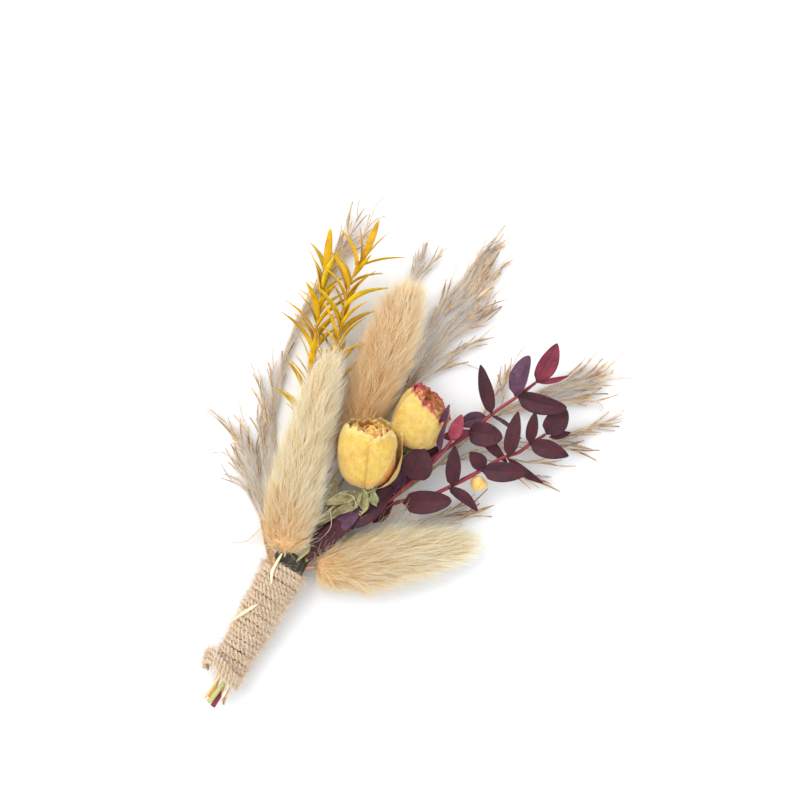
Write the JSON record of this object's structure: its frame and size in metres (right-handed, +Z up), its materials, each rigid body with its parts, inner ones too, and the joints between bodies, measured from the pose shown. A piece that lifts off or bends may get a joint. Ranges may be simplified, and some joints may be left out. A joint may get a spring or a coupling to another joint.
{
  "type": "boutonniere",
  "caption": "Rustic dried-flower boutonniere: mini roses, bunny tail grass, burgundy eucalyptus, yellow foliage and reed plumes, bound with jute twine.",
  "frame": {"origin": "middle of the bounding box, at the surface that the bunch lies on", "axes": "+Y along the stems from the cut ends to the flower tips, +Z up from the surface, +X to the right seen from above with +Y away"},
  "size_m": [0.1058, 0.1644, 0.0261],
  "materials": {
    "jute_twine": "dry two-ply jute with loose fibres",
    "floral_tape": "dull dark olive paper tape",
    "green_stem": "dried green stem, matte",
    "straw": "pale dry straw, matte",
    "cream_bunny_tail": "soft cream bristles",
    "tan_bunny_tail": "soft tan bristles",
    "yellow_petal": "dried yellow petal, wrinkled, satin",
    "orange_petal": "dried orange petal, wrinkled, satin",
    "dried_calyx": "dried pale green sepal, matte",
    "burgundy_leaf": "preserved leaf, dark burgundy, waxy satin",
    "red_stem": "preserved stem, dark red, satin",
    "golden_leaf": "dyed golden leaf, satin",
    "reed_plume": "dry tan spikelets with silvery silk"
  },
  "bodies": {
    "root": {"bunny_tail_back_head": "tan_bunny_tail", "bunny_tail_back_stem": "straw", "bunny_tail_left_head": "cream_bunny_tail", "bunny_tail_left_stem": "straw", "bunny_tail_right_head": "cream_bunny_tail", "bunny_tail_right_stem": "straw", "eucalyptus_high_leaf_1": "burgundy_leaf", "eucalyptus_high_leaf_2": "burgundy_leaf", "eucalyptus_high_leaf_3": "burgundy_leaf", "eucalyptus_high_leaf_4": "burgundy_leaf", "eucalyptus_high_leaf_5": "burgundy_leaf", "eucalyptus_high_leaf_6": "burgundy_leaf", "eucalyptus_high_leaf_7": "burgundy_leaf", "eucalyptus_high_stem": "red_stem", "eucalyptus_low_leaf_1": "burgundy_leaf", "eucalyptus_low_leaf_10": "burgundy_leaf", "eucalyptus_low_leaf_2": "burgundy_leaf", "eucalyptus_low_leaf_3": "burgundy_leaf", "eucalyptus_low_leaf_4": "burgundy_leaf", "eucalyptus_low_leaf_5": "burgundy_leaf", "eucalyptus_low_leaf_6": "burgundy_leaf", "eucalyptus_low_leaf_7": "burgundy_leaf", "eucalyptus_low_leaf_8": "burgundy_leaf", "eucalyptus_low_leaf_9": "burgundy_leaf", "eucalyptus_low_stem": "red_stem", "eucalyptus_mid_leaf_1": "burgundy_leaf", "eucalyptus_mid_leaf_2": "burgundy_leaf", "eucalyptus_mid_leaf_3": "burgundy_leaf", "eucalyptus_mid_stem": "red_stem", "floral_tape": "floral_tape", "reed_plume_far_left": "reed_plume", "reed_plume_high": "reed_plume", "reed_plume_left": "reed_plume", "reed_plume_right": "reed_plume", "reed_plume_top": "reed_plume", "rose_back_calyx": "dried_calyx", "rose_back_heart": "orange_petal", "rose_back_inner_petal_1": "orange_petal", "rose_back_inner_petal_2": "orange_petal", "rose_back_outer_petal_1": "yellow_petal", "rose_back_outer_petal_2": "yellow_petal", "rose_back_outer_petal_3": "yellow_petal", "rose_back_outer_petal_4": "yellow_petal", "rose_back_stem": "green_stem", "rose_front_calyx": "dried_calyx", "rose_front_heart": "orange_petal", "rose_front_inner_petal_1": "orange_petal", "rose_front_inner_petal_2": "orange_petal", "rose_front_outer_petal_1": "yellow_petal", "rose_front_outer_petal_2": "yellow_petal", "rose_front_outer_petal_3": "yellow_petal", "rose_front_outer_petal_4": "yellow_petal", "rose_front_stem": "green_stem", "small_dried_bud": "yellow_petal", "straw_sliver_high": "straw", "straw_sliver_low": "straw", "twine_wrap": "jute_twine", "yellow_sprig_left": "golden_leaf", "yellow_sprig_right": "golden_leaf"}
  },
  "joints": []
}
